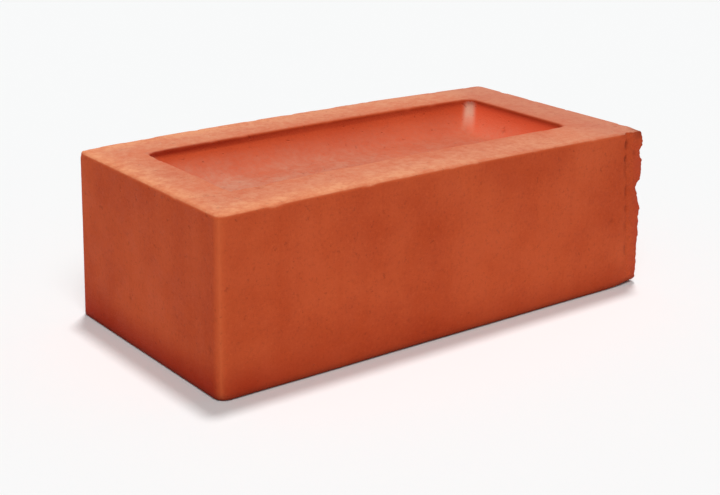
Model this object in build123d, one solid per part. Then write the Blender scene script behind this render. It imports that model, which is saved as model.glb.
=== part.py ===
from build123d import *
import math
import os

# Clay brick with a frog, pressed in a drafted mould and fired as one piece.
# Millimetres. Origin under the middle of the bed face, +X along the brick, +Z up.

# Body
brick_length = 230.0
brick_width = 115.0
brick_height = 75.0
draft_angle = 1.0
corner_radius = 5.0
arris_radius = 1.5
bed_arris_radius = 0.8

# Frog, the hollow in the upper face that mortar fills
frog_length = 181.0
frog_width = 66.0
frog_depth = 14.0
frog_lip_depth = 1.6
frog_cove_width = 13.0
frog_cove_shares = (0.0, 0.25, 0.5, 0.75, 1.0)
frog_cove_round_share = 0.7
frog_corner_radius = 5.0
frog_rim_radius = 1.2
frog_offset_along = -2.0
frog_offset_across = 1.5

# Broken arris, on the upright edge between the front face and the right end
spall_width = 7.0
spall_step = 0.6
spall_angle = -1.8
spall_lean_angle = 4.5
bite_heights = (6.0, 8.0, 13.0, 10.0)
bite_depths = (1.7, 2.7, 1.7, 0.8)
bite_level_shares = (0.85, 0.63, 0.59, 0.17)

# Spare length that lets a cutter pass clear through a face
overrun = 5.0

# How far a slanting line at 45 degrees goes along each axis
diagonal_share = 0.5**0.5


def body_outline():
    """Plan of the bed face, rounded at every corner but the one that is broken."""
    plan = Rectangle(brick_length, brick_width)
    whole = plan.vertices().filter_by(lambda v: v.X < 0 or v.Y > 0)
    return fillet(whole, corner_radius)


def body():
    """Drafted block whose upper and lower edges are eased."""
    block = extrude(body_outline(), amount=brick_height, taper=draft_angle)
    block = fillet(block.faces().sort_by(Axis.Z)[-1].edges(), arris_radius)
    return fillet(block.faces().sort_by(Axis.Z)[0].edges(), bed_arris_radius)


def frog():
    """Shape of the hollow: an upright lip, then a cove, straighter than an ellipse, down to a flat floor."""
    lip_level = brick_height - frog_lip_depth
    cove_depth = frog_depth - frog_lip_depth
    power = 1 / frog_cove_round_share
    sections = []
    for turn_share in frog_cove_shares:
        turn = turn_share * math.pi / 2
        inset = frog_cove_width * (1 - math.cos(turn) ** power)
        drop = cove_depth * math.sin(turn) ** power
        plan = RectangleRounded(frog_length - 2 * inset, frog_width - 2 * inset, frog_corner_radius)
        sections.append(Pos(0, 0, lip_level - drop) * plan)
    lip = extrude(sections[0], amount=frog_lip_depth + overrun)
    return Pos(frog_offset_along, frog_offset_across) * (lip + loft(sections))


def frogged_body():
    """Block with the frog sunk into its upper face and the frog's rim eased."""
    block = body() - frog()
    rim = block.faces().sort_by(Axis.Z)[-1].inner_wires()[0]
    return fillet(rim.edges(), frog_rim_radius)


def spall():
    """Thin wedge that has flaked off the drafted front face along the broken arris, wider at the top."""
    wedge_length = spall_width + brick_height * math.tan(math.radians(spall_lean_angle)) + overrun
    wedge_height = brick_height + 2 * overrun
    wedge = Box(wedge_length, overrun, wedge_height, align=(Align.MIN, Align.MAX, Align.MIN))
    root = Pos(brick_length / 2 - spall_width, spall_step - brick_width / 2, 0)
    return root * Rot(-draft_angle, -spall_lean_angle, spall_angle) * Pos(0, 0, -overrun) * wedge


def bites():
    """Round-bottomed nicks in the broken arris, one for each height, depth and level."""
    nicks = []
    for height, depth, level_share in zip(bite_heights, bite_depths, bite_level_shares):
        level = brick_height * level_share
        radius = (height**2 / 4 + depth**2) / (2 * depth)
        reach = (radius - depth) * diagonal_share - level * math.tan(math.radians(draft_angle))
        nicks.append(Pos(brick_length / 2 + reach, -brick_width / 2 - reach, level) * Sphere(radius))
    return nicks


brick = frogged_body() - spall() - bites()
os.makedirs("parts", exist_ok=True)
export_step(brick, "parts/brick.step")
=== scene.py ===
import math

import bmesh
import bpy
import numpy as np
from mathutils import Matrix, Vector, bvhtree, kdtree, noise

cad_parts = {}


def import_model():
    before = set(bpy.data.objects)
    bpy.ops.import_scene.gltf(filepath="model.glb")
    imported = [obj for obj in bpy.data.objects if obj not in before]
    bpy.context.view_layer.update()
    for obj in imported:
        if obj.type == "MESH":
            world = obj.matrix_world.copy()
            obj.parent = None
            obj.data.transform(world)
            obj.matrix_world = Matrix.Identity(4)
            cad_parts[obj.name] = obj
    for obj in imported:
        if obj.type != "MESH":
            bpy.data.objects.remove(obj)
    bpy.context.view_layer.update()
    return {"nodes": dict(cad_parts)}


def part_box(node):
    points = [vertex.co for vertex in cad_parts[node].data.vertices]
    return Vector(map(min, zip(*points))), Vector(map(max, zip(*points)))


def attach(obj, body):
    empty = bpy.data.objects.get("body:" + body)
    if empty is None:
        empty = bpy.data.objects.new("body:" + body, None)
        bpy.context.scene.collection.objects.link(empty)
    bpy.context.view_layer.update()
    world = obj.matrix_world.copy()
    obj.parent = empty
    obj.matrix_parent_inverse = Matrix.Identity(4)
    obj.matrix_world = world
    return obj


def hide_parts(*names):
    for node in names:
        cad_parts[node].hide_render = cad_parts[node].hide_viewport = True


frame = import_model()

# Clay brick with a frog, in metres, with +X along the brick and +Z up. Colours are linear.
# An effect's range is a pair: where it starts and where it is full, or where it starts to fade and is gone.
# Where four numbers are given, the last two are the effect's strength at the ends of that range.
BRICK_LOW, BRICK_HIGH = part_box("brick")
LEFT, FRONT, FOOT = BRICK_LOW
RIGHT, _, TOP = BRICK_HIGH

# Camera at the photograph's viewing angle, turned in degrees, with its sensor in millimetres
IMAGE_WIDTH = 720
FOCAL_PIXELS = 1409
SENSOR_WIDTH = 36.0
CAMERA_PLACE = (-0.3685, -0.4731, 0.2308)
CAMERA_AZIMUTH = -37.52
CAMERA_ELEVATION = 19.06
CAMERA_ROLL = 0.85

# Net of the brick, and the rounds of smoothing that even it out and that find its edges
VOXEL = 0.00115
EVEN_ROUNDS = 2
EDGE_ROUNDS = 8

# How the pressed faces bow and swell, and how the arrises are nibbled
TOP_BOW = 0.0011
SWELL_DEPTH = 0.0004
NIBBLE_DEPTH = 0.0005
NIBBLE_RANGE = (0.05, 0.7)
ARRIS_BULGE = (0.0002, 0.0009)
ARRIS_LEVELS = (0.004, 0.012)

# Noise in the shape: spacing, seed and octaves, and how octaves fade and grow finer
SWELL_NOISE = (0.05, 1, 1)
NIBBLE_NOISE = (0.009, 2, 3)
ROOT_NOISE = (0.012, 3, 3)
ROUGH_NOISE = (0.0045, 4, 3)
TEAR_NOISE = (0.0014, 5, 2)
BROKEN_NOISE = (0.006, 8, 3)
SEED_STEPS = (13.7, 5.1, 9.3)
OCTAVE_FADE = 1.0
OCTAVE_STEP = 2.0

# Frog's mouth and the rim round it, painted shade on the wall just under the rim, and painted light on the
# frog's end and back walls
FROG_MIDDLE = (-0.002, 0.0015)
FROG_HALF = (0.0905, 0.033)
FROG_TOP_GAP = 0.002
RIM_WIDTH = 0.024
LIP_REACH = 0.001
LIP_UP = (0.55, 0.85)
LIP_TOP_DEPTHS = (0.0005, 0.0013)
LIP_FOOT_DEPTHS = (0.0028, 0.0042)
LIP_ALONG = (-0.08, 0.0)
LIP_LEAST = 0.45
LIT_WALL_FACING = (0.1, 0.6)
LIT_WALL_BACK = 0.28

# Painted highlight in the frog's corners, strongest in the one at the back of the right end
HIGHLIGHT_TURN = (0.0, 0.65)
HIGHLIGHT_STEEPNESS = (0.04, 0.3)
HIGHLIGHT_ELSEWHERE = 0.4

# Pits: those seen in the rim as x, y, radius and depth, and small ones at random
PITS_SEEN = [
    (-0.1034, -0.0308, 0.0019, 0.0009),
    (-0.0975, -0.0315, 0.0013, 0.0006),
    (-0.0812, -0.0345, 0.0019, 0.0009),
]
PIT_SEED = 7
PIT_COUNT = 16
PIT_RADII = (0.0011, 0.0018)
PIT_DEPTH_SHARES = (0.12, 0.30)
PIT_LOWEST = 0.004
PIT_LEAST_UP = -0.5

# Painted highlight on the upright edge between the left end and the front face, fading along the front face
UPRIGHT_UP = (0.2, 0.7)
UPRIGHT_FADE = 0.010
UPRIGHT_BESIDE = 0.5
FRONT_FACING = -0.7

# Foot of the brick darker towards the ground, most at the left end, with painted shade where it meets the
# ground
DARKER_FOOT_HEIGHT = 0.018
DARKER_FOOT_LEAST = 0.26
DARKER_FOOT_MORE = 0.58
DARKER_FOOT_RUN = 0.045
GROUND_SHADE_HEIGHT = 0.0035

# Flaked strip along the broken arris, wider at the top by its lean, with a root that wanders
STRIP_WIDTH = 0.0070
STRIP_LEAN = 0.0787
STRIP_REACH = 0.006
STRIP_FADE = 0.004
STRIP_STEP = (-0.0004, 0.0008)
STRIP_CUTS = 2
STRIP_MARGIN = 0.003
STRIP_INWARD = np.array((-0.5, 0.866, 0))
ROOT_WANDER = 0.08

# Torn clay on the strip, calmer towards its foot
STRIP_ROUGH = 0.0009
STRIP_TEAR = 0.00028
STRIP_CALM = 0.55
STRIP_CALM_LEVELS = (0.030, 0.050)
BROKEN_SPREAD = (0.1, 0.95)
BROKEN_UP = (0.5, 0.8)
BROKEN_END = (0.73, 0.98)
BROKEN_RANGE = (-0.4, 0.4)
BROKEN_LEAST = 0.3

# Dashes cut along the strip's root: level, half length and strength of each
DASHES_SEEN = [
    (0.0684, 0.0022, 1.0),
    (0.0620, 0.0016, 0.9),
    (0.0565, 0.0045, 0.35),
    (0.0462, 0.0025, 0.7),
    (0.0380, 0.0018, 0.45),
    (0.0290, 0.0030, 0.3),
    (0.0180, 0.0025, 0.5),
]
DASH_SQUARENESS = 4
GROOVE_WIDTH = 0.0010
GROOVE_DEPTH = 0.0009

# Chips near the top and at the foot of the broken arris
CHIP_PLACE = (0.1135, -0.0552, 0.0745)
CHIP_RADIUS = 0.009
CHIP_DEPTH = 0.0007
FOOT_CHIP_PLACE = (RIGHT, FRONT, FOOT)
FOOT_CHIP_RADIUS = 0.020
FOOT_CHIP_LIFT = 0.0018
FOOT_CHIP_HEIGHT = 0.012

# Clay colours
CLAY_DEEP = (0.535, 0.068, 0.017, 1)
CLAY_BRIGHT = (0.65, 0.104, 0.031, 1)
# Worn clay and pale grain, also a painted highlight on the near upright edge
CLAY_WORN_AND_HIGHLIGHT = (0.72, 0.140, 0.044, 1)
# The next three are dust with painted sheen: on the rim, at its outer edge, and on the frog's floor
CLAY_DUST_AND_SHEEN = (0.75, 0.30, 0.17, 1)
CLAY_RUBBED_AND_SHEEN = (0.90, 0.38, 0.19, 1)
CLAY_SILT_AND_SHEEN = (0.63, 0.26, 0.165, 1)
# Painted highlight in the frog's corners
CLAY_CORNER_HIGHLIGHT = (0.72, 0.36, 0.25, 1)
CLAY_GREY = (0.50, 0.18, 0.125, 1)
# Darker colour towards the foot
CLAY_DARKER_FOOT = (0.41, 0.019, 0.004, 1)
# Painted shade just under the frog's rim
CLAY_RIM_SHADE = (0.33, 0.018, 0.004, 1)
# Painted light on the frog's end and back walls
CLAY_WALL_LIGHT = (0.82, 0.112, 0.041, 1)
CLAY_BROKEN = (0.50, 0.060, 0.029, 1)
# Dark grain, and painted shade in pits, grooves, pores and along the ground
CLAY_DARK = (0.16, 0.022, 0.010, 1)

# Noise in the clay's colour and relief: spacing, detail and roughness
CLOUDS = (0.045, 3, 0.55)
STREAKS = (0.005, 3, 0.6)
GRAIN = (0.0014, 4, 0.7)
PATCHES = (0.014, 5, 0.65)
SPECKS = (0.0028, 4, 0.7)
PORES = (0.0022, 2, 0.5)
GRIT = (0.0009, 5, 0.7)
TEARS = (0.0025, 3, 0.6)

# Firing clouds, drag marks drawn out upwards, and grain that is dark and pale
CLOUD_RANGE = (0.3, 0.7)
STREAK_SCALE = (1, 1, 0.06)
STREAK_RAMP = (0.45, 0.75, 0.0, 0.22)
DARK_GRAIN_RAMP = (0.50, 0.8, 0.0, 0.30)
PALE_GRAIN_RAMP = (0.25, 0.48, 0.30, 0.0)

# Dust and painted sheen on faces that look up: on the rim most at its outer edge, in the frog most at its
# left end
RIM_START = (0.0, 0.06)
RIM_UP = (0.30, 0.75)
RIM_DUST_SHEEN_DEPTHS = (0.0028, 0.0050, 1.0, 0.0)
RIM_DUST_SHEEN_OUTWARDS = (0.0, 0.7, 0.56, 0.81)
RIM_DUST_SHEEN_BACK = (0.03, 0.045, 0.0, 0.12)
FROG_UP = (0.45, 0.97)
FROG_DUST_SHEEN_ALONG = (-0.03, 0.07, 0.68, 0.42)
FROG_DUST_SHEEN_LEFT = (-0.066, -0.046, 0.36, 0.0)
FROG_DUST_SHEEN_ACROSS = (0.008, 0.022, 1.0, 0.72)
PATCH_RAMP = (0.3, 0.7, 0.75, 1.2)
SPECK_RAMP = (0.32, 0.68, 0.72, 1.22)
RUBBED_SHEEN_OUTWARDS = (0.35, 1.0)
RUBBED_SHEEN_ALONG = (-0.12, 0.06, 1.0, 0.0)
GREY_ALONG = (0.07, 0.105, 0.0, 0.4)

# How strongly wear, broken clay, painted highlight and painted shade show
UPRIGHT_HIGHLIGHT_SHARE = 0.7
ARRIS_SHARE = 0.3
BROKEN_SHARE = 0.7
LIP_SHADE_SHARE = 0.85
PIT_SHARE = 0.5
PORE_SHARE = 0.3
PORE_RANGE = (0.66, 0.76)
HOLLOW_SHADE_SHARE = 0.6

# Finish and sandy relief of the clay
ROUGHNESS_RAMP = (0.75, 1.2, 0.72, 0.86)
CLAY_SPECULAR = 0.12
TORN_RELIEF = 2.0
RELIEF_STRENGTH = 0.6
RELIEF_DEPTH = 0.0004

# Stage and light, with the angles that the lamps fill in degrees
FLOOR_SIZE = 12.0
FLOOR_COLOUR = (0.922, 0.93, 0.931, 1)
FLOOR_ROUGHNESS = 0.9
BACKGROUND = 0.947
WORLD_FILL = 0.155
KEY_FROM = (0.165, 0.155, 1.0)
KEY_STRENGTH = 1.70
KEY_ANGLE = 7.0
FRONT_FROM = (-0.287, -0.497, 0.819)
FRONT_STRENGTH = 1.30
FRONT_ANGLE = 35.0


def ramp(values, low, high):
    """0 below low, 1 above high, and smooth between them."""
    share = np.clip((values - low) / (high - low), 0, 1)
    return share * share * (3 - 2 * share)


def fall(values, low, high):
    """1 below low, 0 above high, and smooth between them."""
    return ramp(-values, -high, -low)


def around(places, centre, radius):
    """1 at the centre, falling smoothly to 0 at the radius."""
    return fall(np.linalg.norm(places - centre, axis=1), 0, radius)


def noise_at(places, spacing, seed, octaves):
    """Smooth noise from about -1 to 1 at each place."""
    shift = Vector([seed * step for step in SEED_STEPS])
    points = [Vector(place) / spacing + shift for place in places]
    if octaves == 1:
        return np.array([noise.noise(point) for point in points])
    return np.array([noise.fractal(point, OCTAVE_FADE, OCTAVE_STEP, octaves) for point in points])


def dense_copy(node, name):
    """New object with the node's solid remade as an even net of small faces."""
    piece = bpy.data.objects.new(name, frame["nodes"][node].data.copy())
    bpy.context.scene.collection.objects.link(piece)
    remesh = piece.modifiers.new("even_net", "REMESH")
    remesh.mode = "VOXEL"
    remesh.voxel_size = VOXEL
    remesh.use_smooth_shade = True
    graph = bpy.context.evaluated_depsgraph_get()
    mesh = bpy.data.meshes.new_from_object(piece.evaluated_get(graph))
    piece.modifiers.clear()
    piece.data = mesh
    return piece


def refine_strip(mesh):
    """Divides the faces along the broken arris, where the clay is roughest."""
    net = bmesh.new()
    net.from_mesh(mesh)
    width = STRIP_WIDTH + STRIP_LEAN * TOP + STRIP_MARGIN
    strip = [
        face for face in net.faces
        if face.calc_center_median().x > RIGHT - width
        and face.calc_center_median().y < FRONT + STRIP_REACH
    ]
    edges = list(dict.fromkeys(edge for face in strip for edge in face.edges))
    bmesh.ops.subdivide_edges(net, edges=edges, cuts=STRIP_CUTS, use_grid_fill=True)
    net.to_mesh(mesh)
    net.free()


def vertex_places(mesh):
    flat = np.empty(len(mesh.vertices) * 3)
    mesh.vertices.foreach_get("co", flat)
    return flat.reshape(-1, 3)


def vertex_normals(mesh):
    flat = np.empty(len(mesh.vertices) * 3, dtype=np.float32)
    mesh.vertex_normals.foreach_get("vector", flat)
    return flat.reshape(-1, 3).astype(float)


def laid_on_solid(places, node):
    """Each place moved to the nearest point on the node's own surface."""
    solid = frame["nodes"][node].data
    tree = bvhtree.BVHTree.FromPolygons(
        [vertex.co for vertex in solid.vertices], [face.vertices for face in solid.polygons]
    )
    return np.array([tree.find_nearest(Vector(place))[0] for place in places])


def relaxed(places, mesh, rounds):
    """Places after each has moved to the mean of its neighbours, round by round."""
    flat = np.empty(len(mesh.edges) * 2, dtype=np.int32)
    mesh.edges.foreach_get("vertices", flat)
    first, second = flat.reshape(-1, 2).T
    count = len(places)
    neighbours = np.bincount(first, minlength=count) + np.bincount(second, minlength=count)
    for _ in range(rounds):
        total = np.stack([
            np.bincount(first, places[second, axis], count) + np.bincount(second, places[first, axis], count)
            for axis in range(3)
        ], axis=1)
        places = total / neighbours[:, None]
    return places


def bow(places):
    """Sinks the ends of the upper face, and less of what lies below it."""
    along = (places[:, 0] / RIGHT) ** 2
    level = (places[:, 2] - FOOT) / (TOP - FOOT)
    places[:, 2] -= level * TOP_BOW * along


def lay_net(mesh):
    """Lays the net evenly on the brick's solid and bows it, and gives its places and normals."""
    places = laid_on_solid(vertex_places(mesh), "brick")
    places = laid_on_solid(relaxed(places, mesh, EVEN_ROUNDS), "brick")
    bow(places)
    mesh.vertices.foreach_set("co", places.ravel())
    mesh.update()
    return places, vertex_normals(mesh)


def beyond_frog(places):
    """How far each place lies outside the frog's mouth in plan, and below 0 inside it."""
    return (np.abs(places[:, :2] - FROG_MIDDLE) - FROG_HALF).max(axis=1)


def inside_frog(places):
    return (beyond_frog(places) <= 0) & (places[:, 2] < TOP - FROG_TOP_GAP)


def corner_turn(normals):
    """0 where a face looks along an axis in plan, and 1 where it looks midway between two."""
    weaker, stronger = np.sort(np.abs(normals[:, :2]), axis=1).T
    return weaker / np.maximum(stronger, np.finfo(float).eps)


def arris_mask(mesh, places, normals):
    """Edges that stand out from the smoothed net, above the foot."""
    bulge = np.einsum("ij,ij->i", places - relaxed(places, mesh, EDGE_ROUNDS), normals)
    return ramp(bulge, *ARRIS_BULGE) * ramp(places[:, 2], *ARRIS_LEVELS)


def frog_masks(places, normals):
    """Margin from the frog out to the brick's edge, a painted highlight in the frog's corners, painted shade
    just under its rim, and painted light on its end and back walls.
    """
    along, across, level = places.T
    depth = TOP - level
    inside = inside_frog(places)
    beyond = beyond_frog(places)
    up = normals[:, 2]
    # Painted highlight in the frog's corners
    frog_highlight = inside * ramp(corner_turn(normals), *HIGHLIGHT_TURN) * ramp(1 - up, *HIGHLIGHT_STEEPNESS)
    frog_highlight *= np.where((along > 0) & (across > 0), 1, HIGHLIGHT_ELSEWHERE)
    # Painted shade just under the rim, strongest towards the left end
    lip_shade = (beyond < LIP_REACH) * fall(up, *LIP_UP)
    lip_shade *= ramp(depth, *LIP_TOP_DEPTHS) * fall(depth, *LIP_FOOT_DEPTHS)
    lip_shade *= LIP_LEAST + (1 - LIP_LEAST) * fall(along, *LIP_ALONG)
    # Painted light on the frog's end wall, and less on its back wall
    end_wall = ramp(-normals[:, 0], *LIT_WALL_FACING)
    back_wall = LIT_WALL_BACK * ramp(-normals[:, 1], *LIT_WALL_FACING)
    return {
        "margin": np.clip(beyond / RIM_WIDTH, 0, 1),
        "corner_highlight": frog_highlight,
        "lip_shade": lip_shade,
        "lit_walls": inside * np.maximum(end_wall, back_wall),
    }


def foot_masks(places):
    """Darker colour that climbs the sides, and painted shade along the ground."""
    darker_foot = DARKER_FOOT_LEAST + DARKER_FOOT_MORE * fall(places[:, 0] - LEFT, 0, DARKER_FOOT_RUN)
    return {
        "darker_foot": darker_foot * fall(places[:, 2], 0, DARKER_FOOT_HEIGHT),
        # Painted shade along the ground
        "ground_shade": fall(places[:, 2], 0, GROUND_SHADE_HEIGHT),
    }


def upright_highlight_mask(places, normals):
    """Painted highlight where the left end turns into the front, fading along the front face."""
    near = (places[:, 0] < 0) & (places[:, 1] < 0) & ~inside_frog(places)
    corner_highlight = near * corner_turn(normals) * fall(np.abs(normals[:, 2]), *UPRIGHT_UP)
    beside = (normals[:, 1] < FRONT_FACING) * np.exp((LEFT - places[:, 0]) / UPRIGHT_FADE)
    return np.maximum(corner_highlight, UPRIGHT_BESIDE * beside)


def strip_masks(places, normals):
    """The flaked strip, the broken clay on it and the dashes along its root."""
    from_end = RIGHT - places[:, 0]
    width = STRIP_WIDTH + STRIP_LEAN * places[:, 2]
    width *= 1 + ROOT_WANDER * noise_at(places * (0, 0, 1), *ROOT_NOISE)
    front = fall(places[:, 1] - FRONT, STRIP_REACH - STRIP_FADE, STRIP_REACH)
    strip = front * ramp(width - from_end, *STRIP_STEP)

    broken = strip * ramp(1 - from_end / width, *BROKEN_SPREAD)
    broken *= fall(normals[:, 2], *BROKEN_UP) * fall(normals[:, 0], *BROKEN_END)
    broken *= BROKEN_LEAST + (1 - BROKEN_LEAST) * ramp(noise_at(places, *BROKEN_NOISE), *BROKEN_RANGE)

    groove = front * np.exp(-((from_end - width) / GROOVE_WIDTH) ** 2)
    groove *= sum(
        strength * np.exp(-((places[:, 2] - level) / half_length) ** DASH_SQUARENESS)
        for level, half_length, strength in DASHES_SEEN
    )
    return strip, broken, groove


def pit_list(places, normals):
    """Place, radius and depth of each pit."""
    picker = np.random.default_rng(PIT_SEED)
    pits = [((along, across, TOP), radius, depth) for along, across, radius, depth in PITS_SEEN]
    outer = np.flatnonzero((normals[:, 2] > PIT_LEAST_UP) & (places[:, 2] > PIT_LOWEST))
    for index in picker.choice(outer, PIT_COUNT, replace=False):
        radius = picker.uniform(*PIT_RADII)
        pits.append((tuple(places[index]), radius, radius * picker.uniform(*PIT_DEPTH_SHARES)))
    return pits


def pit_hollows(places, normals):
    """How deep the pits are at each place, and a mask of them."""
    tree = kdtree.KDTree(len(places))
    for index, place in enumerate(places):
        tree.insert(place, index)
    tree.balance()
    depths = np.zeros(len(places))
    mask = np.zeros(len(places))
    for middle, radius, depth in pit_list(places, normals):
        for _, index, distance in tree.find_range(middle, radius):
            hollow = 1 - (distance / radius) ** 2
            depths[index] += depth * hollow
            mask[index] = max(mask[index], hollow)
    return depths, mask


def face_wear(places, arris):
    """Depth of the swell in the faces and of the nibbles along the arrises."""
    swell = SWELL_DEPTH * (1 + noise_at(places, *SWELL_NOISE)) / 2
    nibbles = ramp(noise_at(places, *NIBBLE_NOISE), *NIBBLE_RANGE)
    return swell + NIBBLE_DEPTH * arris * nibbles


def strip_tear(places, strip):
    """How far the torn clay of the strip lies inwards or outwards."""
    calm = STRIP_CALM * fall(places[:, 2], *STRIP_CALM_LEVELS)
    rough = STRIP_ROUGH * (1 - calm) * noise_at(places, *ROUGH_NOISE)
    return strip * (rough + STRIP_TEAR * noise_at(places, *TEAR_NOISE))


def shape_clay(mesh):
    """Moves the net by the brick's unevenness, wear and break, and keeps masks for its material."""
    places, normals = lay_net(mesh)
    arris = arris_mask(mesh, places, normals)
    strip, broken, groove = strip_masks(places, normals)
    pit_depths, pits = pit_hollows(places, normals)
    chip = around(places, CHIP_PLACE, CHIP_RADIUS)
    foot_chip = around(places, FOOT_CHIP_PLACE, FOOT_CHIP_RADIUS)
    masks = {
        "arris": arris,
        "upright": upright_highlight_mask(places, normals),
        "broken": broken,
        # The grooves and chip are also darkened in the material as painted shade
        "groove": np.maximum(groove, chip),
        "pit": pits,
        **frog_masks(places, normals),
        **foot_masks(places),
    }
    inward = (1 - strip) * face_wear(places, arris) + pit_depths + CHIP_DEPTH * chip
    tear = strip_tear(places, strip)

    places -= normals * inward[:, None]
    places += tear[:, None] * STRIP_INWARD
    places[:, 1] += GROOVE_DEPTH * groove
    places[:, 2] += FOOT_CHIP_LIFT * foot_chip * fall(places[:, 2], 0, FOOT_CHIP_HEIGHT)
    mesh.vertices.foreach_set("co", np.clip(places, BRICK_LOW, BRICK_HIGH).ravel())
    for name, values in masks.items():
        mesh.attributes.new(name, "FLOAT", "POINT").data.foreach_set("value", values.astype(np.float32))
    mesh.update()


class Nodes:
    """Adds nodes to a tree, with each input given as a value or as another node's output."""

    def __init__(self, tree):
        self.tree = tree

    def feed(self, socket, value):
        if isinstance(value, bpy.types.NodeSocket):
            self.tree.links.new(value, socket)
        else:
            socket.default_value = value

    def add(self, kind, inputs=None, **settings):
        node = self.tree.nodes.new("ShaderNode" + kind)
        for name, value in settings.items():
            setattr(node, name, value)
        for name, value in (inputs or {}).items():
            self.feed(node.inputs[name], value)
        return node

    def noise(self, vector, spacing, detail, roughness):
        inputs = {"Vector": vector, "Scale": 1 / spacing, "Detail": detail, "Roughness": roughness}
        return self.add("TexNoise", inputs).outputs["Fac"]

    def ramp(self, value, low, high, to_low=0.0, to_high=1.0):
        inputs = {"Value": value, "From Min": low, "From Max": high, "To Min": to_low, "To Max": to_high}
        return self.add("MapRange", inputs, interpolation_type="SMOOTHSTEP").outputs["Result"]

    def maths(self, operation, *values):
        return self.add("Math", dict(enumerate(values)), operation=operation).outputs[0]

    def product(self, first, *others):
        for other in others:
            first = self.maths("MULTIPLY", first, other)
        return first

    def most(self, first, *others):
        for other in others:
            first = self.maths("MAXIMUM", first, other)
        return first

    def between(self, factor, first, second, data_type, kind):
        """Result of a Mix node, whose sockets are found by their kind."""
        node = self.add("Mix", data_type=data_type)
        sockets = {socket.identifier: socket for socket in (*node.inputs, *node.outputs)}
        self.feed(sockets["Factor_Float"], factor)
        self.feed(sockets["A_" + kind], first)
        self.feed(sockets["B_" + kind], second)
        return sockets["Result_" + kind]

    def mix(self, factor, first, second):
        """Colour that goes from the first to the second."""
        return self.between(factor, first, second, "RGBA", "Color")

    def blend(self, factor, first, second):
        """Number that goes from the first to the second."""
        return self.between(factor, first, second, "FLOAT", "Float")

    def mask(self, name):
        return self.add("Attribute", attribute_name=name).outputs["Fac"]


def fired_and_lit_colour(tree, place):
    """Firing clouds, faint upright drag marks, fine grain, painted light on the frog's end and back walls,
    and a foot darker towards the ground.
    """
    clouds = tree.noise(place, *CLOUDS)
    colour = tree.mix(tree.ramp(clouds, *CLOUD_RANGE), CLAY_DEEP, CLAY_BRIGHT)
    drawn_up = tree.add("Mapping", {"Vector": place, "Scale": STREAK_SCALE}).outputs["Vector"]
    streaks = tree.noise(drawn_up, *STREAKS)
    colour = tree.mix(tree.ramp(streaks, *STREAK_RAMP), colour, CLAY_DEEP)
    grain = tree.noise(place, *GRAIN)
    colour = tree.mix(tree.ramp(grain, *DARK_GRAIN_RAMP), colour, CLAY_DARK)
    colour = tree.mix(tree.ramp(grain, *PALE_GRAIN_RAMP), colour, CLAY_WORN_AND_HIGHLIGHT)
    # Painted light on the frog's end and back walls
    colour = tree.mix(tree.mask("lit_walls"), colour, CLAY_WALL_LIGHT)
    # Darker towards the foot, most at the left end
    return tree.mix(tree.mask("darker_foot"), colour, CLAY_DARKER_FOOT)


def dust_and_sheen_colour(tree, place, colour, patches):
    """Pale dusty colour with painted sheen on the rim and the frog's floor, a painted highlight in the
    frog's corners, and a greyer right end.
    """
    axes = tree.add("SeparateXYZ", {"Vector": place}).outputs
    along, across, level = axes["X"], axes["Y"], axes["Z"]
    normal = tree.add("NewGeometry").outputs["Normal"]
    facing_up = tree.add("SeparateXYZ", {"Vector": normal}).outputs["Z"]
    margin = tree.mask("margin")

    rim = tree.ramp(margin, *RIM_START)
    up = tree.blend(rim, tree.ramp(facing_up, *FROG_UP), tree.ramp(facing_up, *RIM_UP))
    high = tree.ramp(tree.maths("SUBTRACT", TOP, level), *RIM_DUST_SHEEN_DEPTHS)
    in_frog = tree.maths("ADD", tree.ramp(along, *FROG_DUST_SHEEN_ALONG), tree.ramp(along, *FROG_DUST_SHEEN_LEFT))
    in_frog = tree.product(in_frog, tree.ramp(across, *FROG_DUST_SHEEN_ACROSS))
    on_rim = tree.maths("ADD", tree.ramp(margin, *RIM_DUST_SHEEN_OUTWARDS), tree.ramp(across, *RIM_DUST_SHEEN_BACK))
    on_rim = tree.product(on_rim, high)
    specks = tree.ramp(tree.noise(place, *SPECKS), *SPECK_RAMP)
    # Dust and painted sheen on faces that look up
    dust_and_sheen = tree.product(tree.blend(rim, in_frog, on_rim), up, tree.product(patches, specks))

    # Palest at the rim's outer edge and towards the left end: dust with painted sheen
    rubbed_and_sheen = tree.product(tree.ramp(margin, *RUBBED_SHEEN_OUTWARDS), tree.ramp(along, *RUBBED_SHEEN_ALONG))
    rim_dust_and_sheen = tree.mix(rubbed_and_sheen, CLAY_DUST_AND_SHEEN, CLAY_RUBBED_AND_SHEEN)
    colour = tree.mix(dust_and_sheen, colour, tree.mix(rim, CLAY_SILT_AND_SHEEN, rim_dust_and_sheen))
    # Painted highlight in the frog's corners
    colour = tree.mix(tree.mask("corner_highlight"), colour, CLAY_CORNER_HIGHLIGHT)
    grey = tree.product(up, high, tree.ramp(along, *GREY_ALONG))
    return tree.mix(grey, colour, CLAY_GREY)


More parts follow.
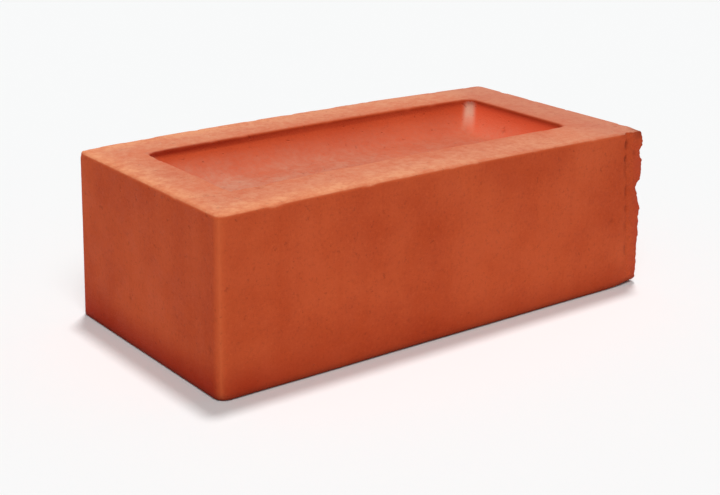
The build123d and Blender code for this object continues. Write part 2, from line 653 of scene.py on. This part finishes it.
def worn_highlight_and_shade_colour(tree, colour, pores):
    """Painted highlight on the near upright edge, worn arrises, broken clay, painted shade just under the
    frog's rim, and painted shade in pits, grooves, pores and along the ground.
    """
    # Painted highlight on the near upright edge
    colour = tree.mix(tree.product(tree.mask("upright"), UPRIGHT_HIGHLIGHT_SHARE), colour, CLAY_WORN_AND_HIGHLIGHT)
    colour = tree.mix(tree.product(tree.mask("arris"), ARRIS_SHARE), colour, CLAY_WORN_AND_HIGHLIGHT)
    colour = tree.mix(tree.product(tree.mask("broken"), BROKEN_SHARE), colour, CLAY_BROKEN)
    # Painted shade just under the frog's rim
    colour = tree.mix(tree.product(tree.mask("lip_shade"), LIP_SHADE_SHARE), colour, CLAY_RIM_SHADE)
    # Painted shade in pits, grooves, the chip, open pores and along the ground
    pits = tree.product(tree.mask("pit"), PIT_SHARE)
    open_pores = tree.product(pores, PORE_SHARE)
    hollow_shade = tree.most(pits, tree.mask("groove"), tree.mask("ground_shade"), open_pores)
    return tree.mix(tree.product(hollow_shade, HOLLOW_SHADE_SHARE), colour, CLAY_DARK)


def clay_relief(tree, place, pores):
    """Sandy relief with open pores, coarser where the clay is broken."""
    relief = tree.maths("SUBTRACT", tree.noise(place, *GRIT), pores)
    torn = tree.product(tree.mask("broken"), tree.noise(place, *TEARS))
    relief = tree.maths("MULTIPLY_ADD", torn, TORN_RELIEF, relief)
    inputs = {"Height": relief, "Strength": RELIEF_STRENGTH, "Distance": RELIEF_DEPTH}
    return tree.add("Bump", inputs).outputs["Normal"]


def clay_material():
    material = bpy.data.materials.new("fired_clay")
    material.use_nodes = True
    tree = Nodes(material.node_tree)
    place = tree.add("TexCoord").outputs["Object"]
    patches = tree.ramp(tree.noise(place, *PATCHES), *PATCH_RAMP)
    pores = tree.ramp(tree.noise(place, *PORES), *PORE_RANGE)
    colour = fired_and_lit_colour(tree, place)
    colour = dust_and_sheen_colour(tree, place, colour, patches)
    colour = worn_highlight_and_shade_colour(tree, colour, pores)

    inputs = material.node_tree.nodes["Principled BSDF"].inputs
    tree.feed(inputs["Base Color"], colour)
    tree.feed(inputs["Roughness"], tree.ramp(patches, *ROUGHNESS_RAMP))
    tree.feed(inputs["Specular IOR Level"], CLAY_SPECULAR)
    tree.feed(inputs["Normal"], clay_relief(tree, place, pores))
    return material


def floor():
    bpy.ops.mesh.primitive_plane_add(size=FLOOR_SIZE)
    plane = bpy.context.object
    plane.name = "floor"
    material = bpy.data.materials.new("pale_floor")
    material.use_nodes = True
    inputs = material.node_tree.nodes["Principled BSDF"].inputs
    inputs["Base Color"].default_value = FLOOR_COLOUR
    inputs["Roughness"].default_value = FLOOR_ROUGHNESS
    inputs["Specular IOR Level"].default_value = 0.0
    plane.data.materials.append(material)


def sun(name, source, strength, angle):
    """Even light from a direction, with soft shadows as from a lamp of that angle across."""
    data = bpy.data.lights.new(name, "SUN")
    data.energy = strength
    data.angle = math.radians(angle)
    lamp = bpy.data.objects.new(name, data)
    lamp.rotation_euler = Vector(source).to_track_quat("Z", "Y").to_euler()
    bpy.context.scene.collection.objects.link(lamp)


def world():
    """White to the eye and to gloss, and a dimmer fill for everything else."""
    scene_world = bpy.data.worlds.new("studio")
    bpy.context.scene.world = scene_world
    scene_world.use_nodes = True
    tree = Nodes(scene_world.node_tree)
    path = tree.add("LightPath").outputs
    seen = tree.most(path["Is Camera Ray"], path["Is Glossy Ray"], path["Is Transmission Ray"])
    inputs = scene_world.node_tree.nodes["Background"].inputs
    tree.feed(inputs["Color"], (1, 1, 1, 1))
    tree.feed(inputs["Strength"], tree.ramp(seen, 0, 1, WORLD_FILL, BACKGROUND))


def camera():
    azimuth = math.radians(CAMERA_AZIMUTH)
    elevation = math.radians(CAMERA_ELEVATION)
    back = Vector((
        math.sin(azimuth) * math.cos(elevation),
        -math.cos(azimuth) * math.cos(elevation),
        math.sin(elevation),
    ))
    right = Vector((0, 0, 1)).cross(back).normalized()
    up = back.cross(right)
    upright = Matrix((right, up, back)).transposed()
    turned = upright @ Matrix.Rotation(math.radians(CAMERA_ROLL), 3, "Z")
    data = bpy.data.cameras.new("camera")
    data.sensor_width = SENSOR_WIDTH
    data.lens = FOCAL_PIXELS / IMAGE_WIDTH * SENSOR_WIDTH
    view = bpy.data.objects.new("camera", data)
    view.matrix_world = Matrix.Translation(CAMERA_PLACE) @ turned.to_4x4()
    bpy.context.scene.collection.objects.link(view)
    bpy.context.scene.camera = view


brick = dense_copy("brick", "fired_brick")
refine_strip(brick.data)
shape_clay(brick.data)
brick.data.materials.clear()
brick.data.materials.append(clay_material())
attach(brick, "root")
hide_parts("brick")

floor()
sun("key", KEY_FROM, KEY_STRENGTH, KEY_ANGLE)
sun("front", FRONT_FROM, FRONT_STRENGTH, FRONT_ANGLE)
world()
camera()
bpy.context.scene.view_settings.view_transform = "Standard"
